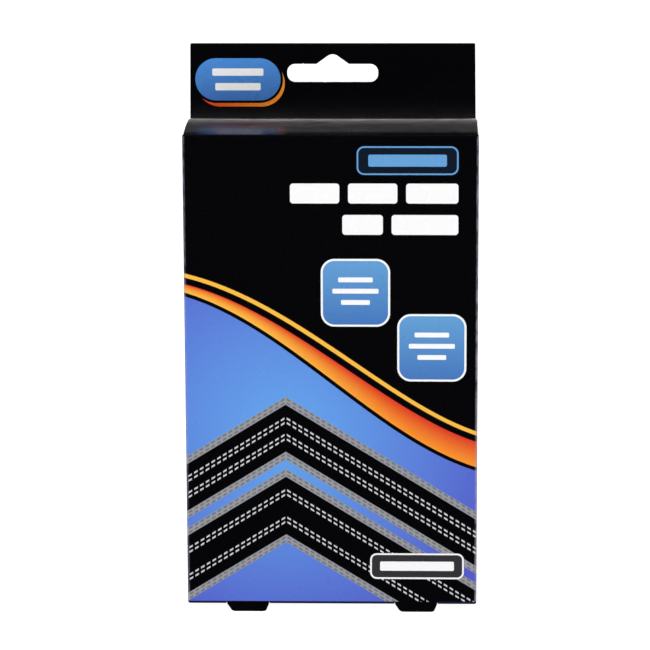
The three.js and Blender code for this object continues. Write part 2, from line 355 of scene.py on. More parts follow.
# %% [markdown]
# The hanging slot is punched through both layers at once. A punch goes straight through, so here a solid of
# the slot's outline is taken away with a Boolean modifier. The outline is spun: a quarter circle at each
# corner and a crown over the peak, with straight runs between them. Two small nicks are left where the
# waste was held until it was pushed out.

# %% Punch the hanging slot
SLOT_LENGTH = 32 * MM
SLOT_HEIGHT = 6.4 * MM
SLOT_CORNER = 2.8 * MM
NICK = 0.22 * MM
NICK_HALF = 1.5 * NICK
UPPER_NICK = -10.4 * MM
LOWER_NICK = -2.6 * MM
PEAK_LENGTH = 11.4 * MM
PEAK_RISE = 3.4 * MM
PEAK_RADIUS = 3.1 * MM
SLOT_DROP = 3.9 * MM
SLOT_STEPS = 8
PUNCH_HALF = 4 * MM


def arc(bm, start, centre, degrees):
    first = bm.verts.new((start[0], 0, start[1]))
    bmesh.ops.spin(bm, geom=[first], cent=(centre[0], 0, centre[1]), axis=(0, -1, 0),
                   angle=math.radians(degrees), steps=SLOT_STEPS, use_duplicate=False)
    bm.verts.ensure_lookup_table()
    return first, bm.verts[-1]


def nick(bm, place, level, way):
    return [bm.verts.new((place + way * step * NICK_HALF, 0, level - way * depth * NICK))
            for step, depth in ((-1, 0), (0, 1), (1, 0))]


def slot_punch():
    end = SLOT_HEIGHT / 2
    reach = SLOT_LENGTH / 2 - SLOT_CORNER
    middle = header_top - SLOT_DROP - PEAK_RISE - end
    rise = end - SLOT_CORNER
    crown_rise = PEAK_RISE - PEAK_RADIUS
    crown = middle + end + crown_rise
    distance = math.hypot(PEAK_LENGTH / 2, crown_rise)
    slope = math.atan2(crown_rise, PEAK_LENGTH / 2) + math.asin(PEAK_RADIUS / distance)
    touch = (PEAK_RADIUS * math.sin(slope), crown + PEAK_RADIUS * math.cos(slope))
    bm = bmesh.new()
    low_right = arc(bm, (reach, middle - end), (reach, middle - rise), 90)
    high_right = arc(bm, (reach + SLOT_CORNER, middle + rise), (reach, middle + rise), 90)
    foot_right = bm.verts.new((PEAK_LENGTH / 2, 0, middle + end))
    peak = arc(bm, touch, (0, crown), 2 * math.degrees(slope))
    foot_left = bm.verts.new((-PEAK_LENGTH / 2, 0, middle + end))
    high_left = arc(bm, (-reach, middle + end), (-reach, middle + rise), 90)
    low_left = arc(bm, (-reach - SLOT_CORNER, middle - rise), (-reach, middle - rise), 90)
    upper_nick = nick(bm, UPPER_NICK, middle + end, -1)
    lower_nick = nick(bm, LOWER_NICK, middle - end, 1)
    chain = ([low_right[1], high_right[0]], [high_right[1], foot_right, peak[0]],
             [peak[1], foot_left, *upper_nick, high_left[0]], [high_left[1], low_left[0]],
             [low_left[1], *lower_nick, low_right[0]])
    for run in chain:
        for a, b in zip(run, run[1:]):
            bm.edges.new((a, b))
    face = bmesh.ops.contextual_create(bm, geom=bm.edges[:])["faces"][0]
    bmesh.ops.translate(bm, verts=bm.verts, vec=(0, back - PUNCH_HALF, 0))
    made = bmesh.ops.extrude_face_region(bm, geom=[face])["geom"]
    bmesh.ops.translate(bm, verts=new_verts(made), vec=(0, 2 * PUNCH_HALF, 0))
    bmesh.ops.recalc_face_normals(bm, faces=bm.faces)
    return bm


punch = put_mesh("slot_punch", slot_punch())
punch.data.materials.append(CUT)
stroke = carton_sleeve.modifiers.new("slot", "BOOLEAN")
stroke.operation = "DIFFERENCE"
stroke.solver = "EXACT"
stroke.object = punch
stroke.material_mode = "TRANSFER"
before = len(carton_sleeve.data.polygons)
apply_modifier(carton_sleeve, stroke)
bpy.data.objects.remove(punch)
print("slot punched:", before, "faces became", len(carton_sleeve.data.polygons))

# %% [markdown]
# The lid is one strip: flat from the front crease, round the rear fold and down as a tucked tongue. Its rows
# are pulled one after another. The tongue is narrower than the panel and has round corners, so the width
# of each of its rows is worked out from the corner's circle. The panel bows up a little, and its front edge
# sits a hair lower than the fold before it, so that its cut edge stays out of sight.

# %% Make the lid
TONGUE_LENGTH = 13 * MM
TONGUE_CORNER = 7 * MM
TONGUE_HALF = half_width - 2.5 * MM
LID_LEAN = 11.3
LID_ROWS = 14
LID_BOW = 0.75 * MM
LID_REAR_DIP = 0.2 * MM
LID_EDGE_DIP = 0.05 * MM
CORNER_STEPS = 7
CORNER_TURN = 0.96 * math.pi / 2


def strip(half, y, z):
    bm = bmesh.new()
    first = bm.verts.new((-half, y, z))
    places = sorted(set(evenly(-half, half, WALL_STEP) + [-TONGUE_HALF, TONGUE_HALF]))
    last = first
    for x in places[1:]:
        vert = bm.verts.new((x, y, z))
        bm.edges.new((last, vert))
        last = vert
    return bm, bm.edges[:]


def tongue(bm, edges, direction, length):
    edges = [e for e in edges if all(abs(v.co.x) < TONGUE_HALF + NEAR for v in e.verts)]
    straight = length - TONGUE_CORNER
    done = 0
    half = TONGUE_HALF
    for step in range(CORNER_STEPS + 1):
        angle = step / CORNER_STEPS * CORNER_TURN
        place = straight + TONGUE_CORNER * math.sin(angle)
        wide = TONGUE_HALF - TONGUE_CORNER * (1 - math.cos(angle))
        verts, edges = pull(bm, edges, direction * (place - done))
        bmesh.ops.scale(bm, verts=verts, vec=(wide / half, 1, 1))
        done, half = place, wide


def lid_sheet():
    start = front + FOLD + HAIR
    end = lid_high.y - FOLD
    bm, edges = strip(lid_high.x, start, lid_level)
    for _ in range(LID_ROWS):
        _, edges = pull(bm, edges, (0, (end - start) / LID_ROWS, 0))
    _, edges = fold(bm, edges, (0, end, lid_level - FOLD), "X", -90 - LID_LEAN)
    down = Matrix.Rotation(math.radians(-90 - LID_LEAN), 3, "X") @ Vector((0, 1, 0))
    tongue(bm, edges, down, TONGUE_LENGTH - FOLD)
    for vert in bm.verts:
        share = min(1, (vert.co.y - start) / (end - start))
        bow = LID_BOW * swell(vert.co.y, start, end) if vert.co.z > lid_level - NEAR else 0
        vert.co.z += bow - LID_REAR_DIP * share * swell(vert.co.x, -half_width, half_width)
        if vert.co.y < start + HAIR:
            vert.co.z -= LID_EDGE_DIP
    return bm


lid_board = place_board("lid_board", lid_sheet(), ((0, 0, lid_level), (0, 0, 1)), "lid", "lid")
print("lid:", len(lid_board.data.polygons), "faces")

# %% [markdown]
# The base is made as the lid is, upside down. The foot tabs were cut out of it, so its front edge has two
# notches with the outline of a foot.

# %% Make the base panel
NOTCH_DEPTH = 3.1 * MM
NOTCH_TIP = 6.2 * MM


def base_sheet():
    start = front + FOLD + HAIR
    notch_end = front + NOTCH_DEPTH
    end = base_high.y - FOLD
    bm, edges = strip(base_high.x, start, base_level)
    rows = [notch_end] + evenly(notch_end, end, WALL_STEP)[1:]
    level = start
    for row in rows:
        _, edges = pull(bm, edges, (0, row - level, 0))
        level = row
    cut_rows(bm, "X", [side * (FOOT_OFFSET + way * FOOT_RELEASE) for side in (-1, 1) for way in (-1, 1)])
    edges = along(bm, end, base_level)
    _, edges = fold(bm, edges, (0, end, base_level + FOLD), "X", 90)
    tongue(bm, edges, Vector((0, 0, 1)), TONGUE_LENGTH - FOLD)
    in_notch = [f for f in bm.faces if f.calc_center_median().y < notch_end
                and in_foot(f.calc_center_median().x)]
    bmesh.ops.delete(bm, geom=in_notch, context="FACES")
    for vert in bm.verts:
        side = math.copysign(FOOT_OFFSET, vert.co.x)
        if abs(vert.co.y - notch_end) < NEAR and abs(abs(vert.co.x - side) - FOOT_RELEASE) < NEAR:
            vert.co.x = side + math.copysign(NOTCH_TIP, vert.co.x - side)
    return bm


base_board = place_board("base_board", base_sheet(), ((0, 0, base_level), (0, 0, -1)), "carton",
                         "base_panel")
print("base:", len(base_board.data.polygons), "faces")

# %% [markdown]
# The four dust flaps and the seam flap are cut from the same board, but only their edges and inner faces are
# ever seen. One function makes all four flaps. A flap turns in from its side panel, and its two long edges
# lean towards a tip with round corners.

# %% Make the dust flaps and the seam flap
FLAP_SLANT = 3 * MM
FLAP_CORNER = 5 * MM
SEAM_SLANT = 4 * MM
FLAP_GAP = 0.3 * MM
FLAP_ROW = 5 * MM
FLAP_COLUMN = 4 * MM
FLAP_CORNER_STEPS = 6
FLAP_SHORT = 0.02 * MM
flap_length = upper_high.x - upper_low.x


def flap_edge(run):
    share = run / (flap_length - FOLD)
    lean = FLAP_SLANT * share
    left = flap_length - FOLD - run
    if left < FLAP_CORNER:
        lean += FLAP_CORNER - math.sqrt(max(0, FLAP_CORNER ** 2 - (FLAP_CORNER - left) ** 2))
    return lean


def dust_flap(name, side, low, high, is_upper, body):
    level = high.z if is_upper else low.z
    root = side_top + FLAP_GAP if is_upper else side_bottom - FLAP_GAP
    fold_level = level - FOLD if is_upper else level + FOLD
    bm = bmesh.new()
    verts = [bm.verts.new((side * half_width, y, root)) for y in evenly(low.y, high.y, FLAP_COLUMN)]
    edges = [bm.edges.new(pair) for pair in zip(verts, verts[1:])]
    verts, edges = pull(bm, edges, (0, 0, fold_level - root))
    bend = -90 if (side > 0) == is_upper else 90
    _, edges = fold(bm, edges, (side * side_fold, 0, fold_level), "Y", bend)
    straight = flap_length - FOLD
    turns = [math.pi / 2 * i / FLAP_CORNER_STEPS for i in range(1, FLAP_CORNER_STEPS)]
    corner = [straight - FLAP_CORNER * (1 - math.sin(turn)) for turn in turns]
    places = evenly(0, straight - FLAP_CORNER, FLAP_ROW)[1:] + corner + [straight - FLAP_SHORT]
    middle = (low.y + high.y) / 2
    half = (high.y - low.y) / 2
    done = 0
    for place in places:
        verts, edges = pull(bm, edges, (-side * (place - done), 0, 0))
        for vert in verts:
            share = (vert.co.y - middle) / (half - flap_edge(done))
            vert.co.y = middle + share * (half - flap_edge(place))
        done = place
    outward = ((side * (half_width - flap_length / 2), middle, level), (0, 0, 1 if is_upper else -1))
    return place_board(name + "_board", bm, outward, body, name, PLAIN)


flaps = []
for side, word in ((-1, "left"), (1, "right")):
    upper = f"dust_flap_{word}"
    lower = f"base_dust_flap_{word}"
    flaps.append(dust_flap(upper, side, upper_low, upper_high, True, upper))
    flaps.append(dust_flap(lower, side, lower_low, lower_high, False, "carton"))

seam = bmesh.new()
corners = [seam.verts.new(place) for place in (
    (seam_low.x, seam_high.y, seam_low.z), (seam_high.x, seam_high.y, seam_low.z + SEAM_SLANT),
    (seam_high.x, seam_high.y, seam_high.z - SEAM_SLANT), (seam_low.x, seam_high.y, seam_high.z))]
seam.faces.new(corners)
cut_rows(seam, "Z", evenly(seam_low.z, seam_high.z, WALL_STEP)[1:-1])
seam_middle = (seam_low + seam_high) / 2
seam_outward = ((seam_middle.x, seam_high.y, seam_middle.z), (0, 1, 0))
seam_board = place_board("seam_board", seam, seam_outward, "carton", "seam_flap", PLAIN)
print("flaps:", [flap.name for flap in flaps], "and the seam")

# %% [markdown]
# The camera stands where the photograph was taken from: in front, a little above and a little to the right.
# It could be nudged by eye until the picture fits, but its place, its tilt and its lens pull against each
# other, so all of them were worked out together from ten of the carton's corners.

# %% Set the camera
CAMERA_DISTANCE = 1.198
CAMERA_RISE = math.radians(12.75)
CAMERA_TURN = math.radians(1.60)
CAMERA_ROLL = math.radians(-0.23)
CAMERA_AIM = Vector((-0.00209, front, base_level + 0.10112))
FOCAL_PIXELS = 3451
PICTURE_PIXELS = 650
SENSOR = 36

camera_data = bpy.data.cameras.new("camera")
camera = put("camera", camera_data)
camera_data.sensor_width = SENSOR
camera_data.lens = FOCAL_PIXELS / PICTURE_PIXELS * SENSOR
camera_data.clip_end = 20
backwards = Vector((math.sin(CAMERA_TURN) * math.cos(CAMERA_RISE),
                    -math.cos(CAMERA_TURN) * math.cos(CAMERA_RISE), math.sin(CAMERA_RISE)))
right = Vector((math.cos(CAMERA_TURN), math.sin(CAMERA_TURN), 0))
up = backwards.cross(right)
rolled_right = right * math.cos(CAMERA_ROLL) + up * math.sin(CAMERA_ROLL)
rolled_up = up * math.cos(CAMERA_ROLL) - right * math.sin(CAMERA_ROLL)
stance = Matrix((rolled_right, rolled_up, backwards)).transposed().to_4x4()
stance.translation = CAMERA_AIM + backwards * CAMERA_DISTANCE
camera.matrix_world = stance
bpy.context.scene.camera = camera
print("camera at", [round(v, 3) for v in stance.translation], "lens", round(camera_data.lens, 1))

# %% [markdown]
# The print has to run round the folds as it does on the flat blank, so each piece gets a UV map that is the
# blank itself, in millimetres. Across is the way round the carton, from the middle of the front, and up is
# the height above the base. The lid and the base lie beyond the front's two ends.

# %% Lay the blank over the pieces
LID_PLACE = 300
BASE_PLACE = -100
corner_run = FOLD * math.pi / 2
straight_depth = back - FOLD
girth = 4 * side_fold + 4 * straight_depth + 4 * corner_run


def way_round(place, middle):
    reach, depth = abs(place.x), place.y
    ahead = max(0, reach - side_fold)
    aside = max(0, abs(depth) - straight_depth)
    bend = FOLD * math.atan2(ahead, aside) if ahead > 0 else 0
    if middle.y > straight_depth and abs(middle.x) < side_fold:
        turned = girth / 2 - min(reach, side_fold)
        return turned if place.x >= 0 else girth - turned
    if depth < -straight_depth or (middle.y < -straight_depth and reach < side_fold):
        run = min(reach, side_fold) + bend
    else:
        run = side_fold + corner_run + depth + straight_depth
        if depth > straight_depth:
            run = side_fold + 2 * corner_run + 2 * straight_depth - bend
    return math.copysign(run, place.x)


def on_sleeve(place, middle):
    is_facing = middle.z > lid_level and middle.y < back - TURN
    across = place.x if is_facing else way_round(place, middle)
    return across / MM, (place.z - base_level) / MM


def on_lid(place, middle):
    return place.x / MM, LID_PLACE + (place.y - front - (place.z - lid_level)) / MM


def on_base(place, middle):
    return place.x / MM, BASE_PLACE - (place.y - front) / MM


def lay_blank(piece, unroll):
    blank = piece.data.uv_layers.new(name="blank")
    for face in piece.data.polygons:
        for loop in face.loop_indices:
            place = piece.data.vertices[piece.data.loops[loop].vertex_index].co
            blank.data[loop].uv = unroll(place, face.center)


lay_blank(carton_sleeve, on_sleeve)
lay_blank(lid_board, on_lid)
lay_blank(base_board, on_base)
print("girth of the blank", round(girth / MM, 2), "mm")

# %% [markdown]
# The print is drawn in the shader, and that takes a lot of arithmetic. Wiring each Math node by hand would
# hide the drawing, so a small class wraps a socket, and an ordinary Python sum on it adds the nodes. Every
# other node comes from one method, which sets what the node is told and joins what it is given.


# %% Shader maths as Python sums
class Signal:
    def __init__(self, finish, socket):
        self.finish = finish
        self.socket = socket

    def math(self, operation, *values, clamp=False):
        settings = dict(operation=operation, use_clamp=clamp)
        return self.finish.node("ShaderNodeMath", settings, dict(enumerate(values)))

    def vector(self, operation, *values, output="Vector"):
        settings = dict(operation=operation)
        return self.finish.node("ShaderNodeVectorMath", settings, dict(enumerate(values)), output)

    def __add__(self, other):
        return self.math("ADD", self, other)

    def __sub__(self, other):
        return self.math("SUBTRACT", self, other)

    def __rsub__(self, other):
        return self.math("SUBTRACT", other, self)

    def __mul__(self, other):
        return self.math("MULTIPLY", self, other)

    def __truediv__(self, other):
        return self.math("DIVIDE", self, other)

    def __rtruediv__(self, other):
        return self.math("DIVIDE", other, self)

    def __abs__(self):
        return self.math("ABSOLUTE", self)

    __radd__ = __add__
    __rmul__ = __mul__

    def most(self, other):
        return self.math("MAXIMUM", self, other)

    def root(self):
        return self.math("SQRT", self)

    def sine(self):
        return self.math("SINE", self)

    def cosine(self):
        return self.math("COSINE", self)

    def remainder(self, size):
        return self.math("FLOORED_MODULO", self, size)

    def clamped(self):
        return self.math("ADD", self, 0.0, clamp=True)


class Finish:
    def __init__(self, owner):
        owner.use_nodes = True
        self.tree = owner.node_tree
        self.tree.nodes.clear()

    def node(self, kind, settings=None, inputs=None, output=0):
        made = self.tree.nodes.new(kind)
        for name, value in (settings or {}).items():
            setattr(made, name, value)
        for name, value in (inputs or {}).items():
            if isinstance(value, Signal):
                self.tree.links.new(value.socket, made.inputs[name])
            else:
                made.inputs[name].default_value = value
        return Signal(self, made.outputs[output]) if len(made.outputs) else made

    def split(self, vector):
        made = self.node("ShaderNodeSeparateXYZ", inputs={0: vector}).socket.node
        return [Signal(self, socket) for socket in made.outputs]

    def join(self, x, y):
        return self.node("ShaderNodeCombineXYZ", inputs={0: x, 1: y})

    def stretch(self, vector, scale):
        return self.node("ShaderNodeMapping", inputs={"Vector": vector, "Scale": scale})

    def mix(self, share, first, second):
        settings = dict(data_type="RGBA", clamp_factor=True)
        return self.node("ShaderNodeMix", settings, {0: share, 6: first, 7: second}, output=2)

    def object_place(self):
        return self.node("ShaderNodeTexCoord", output="Object")

    def noise(self, scale, detail=3.0, roughness=0.5, vector=None):
        vector = vector or self.object_place()
        inputs = {"Vector": vector, "Scale": scale, "Detail": detail, "Roughness": roughness}
        return self.node("ShaderNodeTexNoise", inputs=inputs, output="Fac")

    def bump(self, height, distance, strength=1.0):
        inputs = {"Height": height, "Distance": distance, "Strength": strength}
        return self.node("ShaderNodeBump", inputs=inputs)

    def surface(self, **inputs):
        named = {name.replace("_", " "): value for name, value in inputs.items()}
        shader = self.node("ShaderNodeBsdfPrincipled", inputs=named)
        self.node("ShaderNodeOutputMaterial", inputs={"Surface": shader})


def colour(red, green, blue):
    def linear(part):
        share = part / 255
        return share / 12.92 if share <= 0.04045 else ((share + 0.055) / 1.055) ** 2.4
    return (linear(red), linear(green), linear(blue), 1.0)


print("shader maths ready")

# %% [markdown]
# The print is a ground of near-black ink with flat shapes laid over it, as a screen printer would lay
# them. Each shape is a distance: below zero inside it, above zero outside. A soft step on that distance
# makes its mask, and a band just inside its edge makes its outline. Nearly every shape here is a bar with
# round corners, so one function gives its distance, and tables of bars then lay out each panel.

# %% Shapes and inks for the print
EDGE = 0.12

BLACK = colour(5, 5, 8)
WHITE = colour(252, 252, 252)
LIGHT_BLUE = colour(97, 168, 243)
VIOLET = colour(80, 88, 207)
PALE_BLUE = colour(98, 162, 218)
DEEP_BLUE = colour(62, 118, 192)
BRIGHT_BLUE = colour(72, 146, 228)
DARK_BLUE = colour(14, 26, 44)
ORANGE = colour(255, 150, 25)
YELLOW = colour(255, 190, 60)
RED = colour(228, 45, 12)
GREY = colour(152, 154, 160)
DARK_GREY = colour(110, 112, 118)
PALE_GREY = colour(208, 209, 213)
BADGE_GREY = colour(52, 52, 56)
# painted shade: the navy band along the base's fold
FOLD_SHADE_NAVY = colour(24, 24, 66)


def inside(distance):
    return distance.math("MULTIPLY_ADD", distance, -1 / EDGE, 0.5, clamp=True)


def outline(distance, width):
    return inside(abs(distance + width / 2) - width / 2)


def bar(place, middle, size, corner):
    away = place.vector("ABSOLUTE", place.vector("SUBTRACT", place, (*middle, 0)))
    core = (size[0] / 2 - corner, size[1] / 2 - corner, 1)
    beyond = place.vector("MAXIMUM", place.vector("SUBTRACT", away, core), (0, 0, 0))
    return place.vector("LENGTH", beyond, output="Value") - corner


def draw_bar(f, ink, place, middle, size, corner, fill=None, end=None, axis=1, line=None, line_width=0.6):
    shape = bar(place, middle, size, corner)
    if end is not None:
        share = (f.split(place)[axis] - middle[axis]) / size[axis] + 0.5
        fill = f.mix(share.clamped(), fill, end)
    if fill is not None:
        ink = f.mix(inside(shape), ink, fill)
    return ink if line is None else f.mix(outline(shape, line_width), ink, line)


def draw_bars(f, ink, place, bars):
    for row in bars:
        ink = draw_bar(f, ink, place, **row)
    return ink


print("shapes ready")

# %% [markdown]
# The blue field, the ribbons over it and the chevrons in it run all the way round the carton. Their one
# guide line is a sine wave whose length is the carton's girth, so it meets itself at the glued seam. The
# chevrons look like a knitted band with bound and stitched edges: their stitches are dashes along a row.

# %% Draw the field, the ribbons and the chevrons
TURN_PER_MM = 2 * math.pi / (girth / MM)
WAVE_LEVEL = 80
WAVE_HEIGHT = 34
GLOW_PLACE = (-16, 62)
GLOW_REACH = 78
RIBBON_GAP = 1.3
RIBBON_THIN = 2.6
RIBBON_WIDE = 9.0
THREAD_GAP = 2.2
THREAD_WIDTH = 1.4
CHEVRON_SLOPE = 0.62
CHEVRON_MIDDLE = -16
CHEVRON_BANDS = [dict(level=36, width=21), dict(level=64, width=17)]
BORDER_WIDTH = 2.4
STITCH_STEP = 2.4
STITCH_WIDTH = 0.55
STITCH_SHARE = 0.3
YELLOW_START, YELLOW_SLOPE = 0.45, 0.9
STITCH_ROWS = [dict(place=0.7, tone=DARK_GREY), dict(place=1.9, tone=DARK_GREY),
               dict(place=-4.0, tone=PALE_GREY), dict(place=-5.4, tone=PALE_GREY)]


def draw_ribbons(f, ink, lean, rise, slant):
    width = lean * ((RIBBON_WIDE - RIBBON_THIN) / 2) + (RIBBON_WIDE + RIBBON_THIN) / 2
    place = rise * slant - RIBBON_GAP
    across = (place / width).clamped()
    heat = f.mix(across, ORANGE, RED)
    heat = f.mix((YELLOW_START - lean * YELLOW_SLOPE).clamped() * (1 - across), heat, YELLOW)
    ink = f.mix(inside(abs(place - width / 2) - width / 2), ink, heat)
    thread = abs(place - width - THREAD_GAP - THREAD_WIDTH / 2) - THREAD_WIDTH / 2
    return f.mix(inside(thread), ink, f.mix(across, ORANGE, YELLOW))


def draw_chevrons(f, ink, x, y):
    reach = abs(x - CHEVRON_MIDDLE)
    level = y + reach * CHEVRON_SLOPE
    length = math.hypot(1, CHEVRON_SLOPE)
    dash = abs((reach * length).remainder(STITCH_STEP) - STITCH_STEP / 2) - STITCH_STEP * STITCH_SHARE
    for band in CHEVRON_BANDS:
        edge = (abs(level - band["level"]) - band["width"] / 2) / length
        ink = f.mix(inside(edge - BORDER_WIDTH), ink, GREY)
        ink = f.mix(inside(edge), ink, BLACK)
        for row in STITCH_ROWS:
            stitch = (abs(edge - row["place"]) - STITCH_WIDTH / 2).most(dash)
            ink = f.mix(inside(stitch), ink, row["tone"])
    return ink


def draw_field(f, x, y):
    turn = x * TURN_PER_MM
    lean = turn.sine()
    rise = y - WAVE_LEVEL + lean * WAVE_HEIGHT
    slope = turn.cosine() * (WAVE_HEIGHT * TURN_PER_MM)
    slant = 1 / (1 + slope * slope).root()
    half_girth = girth / 2 / MM
    gap_x = (x - GLOW_PLACE[0] + half_girth / 2).remainder(half_girth) - half_girth / 2
    gap_y = y - GLOW_PLACE[1]
    far = ((gap_x * gap_x + gap_y * gap_y).root() / GLOW_REACH).clamped()
    field = draw_chevrons(f, f.mix(far, LIGHT_BLUE, VIOLET), x, y)
    ink = f.mix(inside(rise * slant), BLACK, field)
    return draw_ribbons(f, ink, lean, rise, slant)


print("one wave in", round(girth / MM, 1), "mm")

# %% [markdown]
# A shared part carries no words, so plain bars mark the places where somebody can put their own. A table
# of bars is easier to read and to change than a long row of nodes. Each table below is one panel, and each
# row in it is one bar with its middle, its size and its inks.

# %% Lay out the front and the header
WORD_HEIGHT = 7.0
CARD_SIZE = 24
CARD_LINES = [dict(rise=4.6, width=12), dict(rise=0.6, width=16), dict(rise=-3.4, width=10)]


def words(level, starts, widths, height=WORD_HEIGHT, corner=1.1, tone=WHITE):
    return [dict(middle=(start + width / 2, level), size=(width, height), corner=corner, fill=tone)
            for start, width in zip(starts, widths)]


def card(x, y, size=CARD_SIZE):
    return [dict(middle=(x, y), size=(size, size), corner=size / 5, fill=DEEP_BLUE, end=PALE_BLUE,
                 line=WHITE, line_width=0.7)]


def card_with_lines(x, y):
    return card(x, y) + [dict(middle=(x, y + row["rise"]), size=(row["width"], 1.7), corner=0.4, fill=WHITE)
                         for row in CARD_LINES]


def lozenge(x, y):
    return [dict(middle=(x + 1, y - 1.4), size=(31, 16.5), corner=8.2, fill=RED, end=ORANGE, axis=0),
            dict(middle=(x, y), size=(31.8, 16.8), corner=8.3, fill=BLACK),
            dict(middle=(x, y), size=(30, 15), corner=7.4, fill=DEEP_BLUE, end=BRIGHT_BLUE),
            *words(y + 2.6, (x - 9,), (18,), 2.6, 0.5), *words(y - 2.6, (x - 8,), (16,), 2.6, 0.5)]


FRONT_BARS = [
    *words(147.5, starts=(-14, 6, 26), widths=(17, 17, 18)),
    *words(136.5, starts=(4, 21), widths=(14, 23)),
    dict(middle=(26.5, 159), size=(35, 10), corner=2.6, fill=DARK_BLUE, line=PALE_BLUE, line_width=0.55),
    dict(middle=(26.5, 159), size=(27, 4.2), corner=0.6, fill=PALE_BLUE),
    *card_with_lines(8.5, 112.5),
    *card_with_lines(35, 93),
    dict(middle=(30, 14), size=(33, 9.4), corner=2.4, fill=BADGE_GREY, line=WHITE),
    *words(14, starts=(17,), widths=(26,), height=3.4, corner=0.5),
    *lozenge(-33.4, 181.8)]
print("front:", len(FRONT_BARS), "bars")

# %% [markdown]
# A real carton is printed on every side, and so is this one. The back gets a heading, two cards, a white
# label and two paragraphs. A paragraph is one formula: the remainder of the height gives its lines, and the
# remainder of the way across gives the gaps between words.

# %% Lay out the back and the sides
LINE_TOP = 1.0
WALL_TOP = 167.5
SIDE_MIDDLE = (side_fold + corner_run + straight_depth) / MM
BACK_MIDDLE = girth / 2 / MM
PARAGRAPHS = [dict(left=-42, low=116, size=(52, 26)), dict(left=-42, low=97, size=(38, 15))]
LINE_STEP = 3.7
LINE_HALF = 0.62
LINE_FULL, LINE_RAG = 0.88, 0.1
RAG_PER_MM = 1.1
WORD_STEP = 7.5
WORD_GAP = 0.9
WORD_WANDER = 11

BACK_BARS = [
    *words(152, starts=(-42, -13), widths=(26, 34), height=5.6),
    *card(29, 134, 22),
    dict(middle=(29, 134), size=(11, 11), corner=5.4, line=WHITE, line_width=1.2),
    *card(29, 108, 22),
    dict(middle=(29, 108), size=(11, 11), corner=2.5, line=WHITE, line_width=1.2),
    dict(middle=(26, 20), size=(36, 22), corner=1.2, fill=WHITE),
    *words(24.5, starts=(13,), widths=(26,), height=1.4, corner=0.3, tone=BADGE_GREY),
    *words(20, starts=(13,), widths=(26,), height=1.4, corner=0.3, tone=BADGE_GREY),
    *words(15.5, starts=(13,), widths=(18,), height=1.4, corner=0.3, tone=BADGE_GREY)]
SIDE_BARS = [
    dict(middle=(0, 159), size=(22, 8), corner=2.4, fill=DEEP_BLUE, line=PALE_BLUE, line_width=0.55),
    *words(149, starts=(-11,), widths=(22,), height=4.4, corner=0.6),
    *words(142, starts=(-7.5,), widths=(15,), height=4.4, corner=0.6),
    *words(136, starts=(-9, 1), widths=(8.5, 8), height=1.3, corner=0.4, tone=PALE_GREY),
    *words(132.8, starts=(-9, -3), widths=(4.5, 11), height=1.3, corner=0.4, tone=PALE_GREY)]


def paragraph(x, y, left, low, size):
    line = (y - low).remainder(LINE_STEP)
    wander = ((y - line) * RAG_PER_MM).sine()
    end = size[0] * (LINE_FULL + wander * LINE_RAG)
    gap = WORD_GAP / 2 - abs((x + wander * WORD_WANDER).remainder(WORD_STEP) - WORD_STEP / 2)
    across = abs(x - left - end / 2) - end / 2
    within = abs(y - low - size[1] / 2) - size[1] / 2
    return across.most(abs(line - LINE_STEP / 2) - LINE_HALF).most(within).most(gap)


def draw_back(f, ink, blank):
    place = blank.vector("SUBTRACT", blank, (BACK_MIDDLE, 0, 0))
    x, y, _ = f.split(place)
    for text in PARAGRAPHS:
        ink = f.mix(inside(paragraph(x, y, **text)), ink, PALE_GREY)
    return draw_bars(f, ink, place, BACK_BARS)


def draw_sides(f, ink, x, y):
    return draw_bars(f, ink, f.join(abs(x) - SIDE_MIDDLE, y), SIDE_BARS)


print("back:", len(BACK_BARS), "bars, sides:", len(SIDE_BARS), "bars")

# %% [markdown]
# The lid's varnish is scuffed and dusty, and it faces the overhead light, so it looks grey where the front
# looks black: that sheen is painted here as a pale grey film, along with the dust. It starts behind the
# front crease and is brightest along the rear fold, which is a painted highlight. Long faint streaks and a
# few bare patches break it up. It is mixed into the ink, as a film is.

# %% Paint the sheen and dust on the lid
LID_DEPTH = (lid_high.y - front) / MM
# painted sheen: a pale grey mixed into the lid's ink, together with dust
SHEEN_AND_DUST_TONE = colour(170, 165, 167)
LID_GREY_START, LID_GREY_RAMP = 2.0, 4.0
LID_GREY_END = 1.6
LID_GREY_THIN, LID_GREY_THICK = 0.08, 0.8
LID_GREY_ROUGHNESS = 0.3
STREAKS = dict(scale=1.0, detail=4.0, roughness=0.6)
STREAK_STRETCH = (0.05, 0.4, 1)
STREAK_LEAST, STREAK_GAIN = 0.35, 1.3
BLOTCHES = dict(scale=0.16, detail=4.0, roughness=0.65)
BLOTCH_MOST, BLOTCH_GAIN, BLOTCH_LEAST = 1.7, 1.5, 0.25
SPOT_EDGE, SPOT_FRAY, SPOT_BARE = 1.3, 0.6, 0.8
BARE_SPOTS = [dict(place=(-43.2, 25.0), size=(1.6, 1.3)), dict(place=(-31.0, 16.0), size=(15.0, 9.0)),
              dict(place=(-4.5, 22.0), size=(4.2, 2.6)), dict(place=(13.5, 27.0), size=(6.5, 2.2))]


